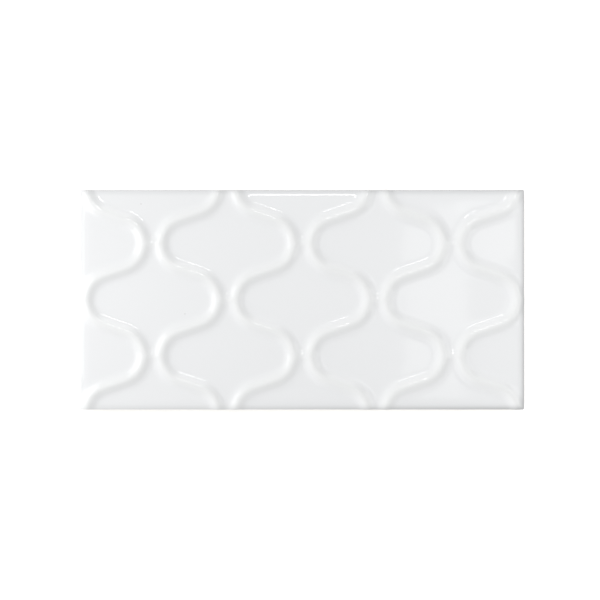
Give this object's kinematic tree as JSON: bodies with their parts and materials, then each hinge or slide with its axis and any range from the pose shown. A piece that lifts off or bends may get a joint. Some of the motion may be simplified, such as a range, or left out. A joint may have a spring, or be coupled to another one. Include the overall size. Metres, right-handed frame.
{
  "type": "decorative tile",
  "caption": "Rectangular white gloss wall tile with a raised ogee lattice of wavy half-round ridges on its face and a shallow waffle on its back to key into adhesive.",
  "frame": {"origin": "under the middle of the tile, on the plane of its back", "axes": "+X along the length, +Y across the width, +Z out of the patterned face"},
  "size_m": [0.1508, 0.0746, 0.0086],
  "materials": {
    "white_glaze": "clear gloss white glaze on the face and rim, unglazed off-white fired body on the back"
  },
  "bodies": {
    "root": {"tile": "white_glaze"}
  },
  "joints": []
}
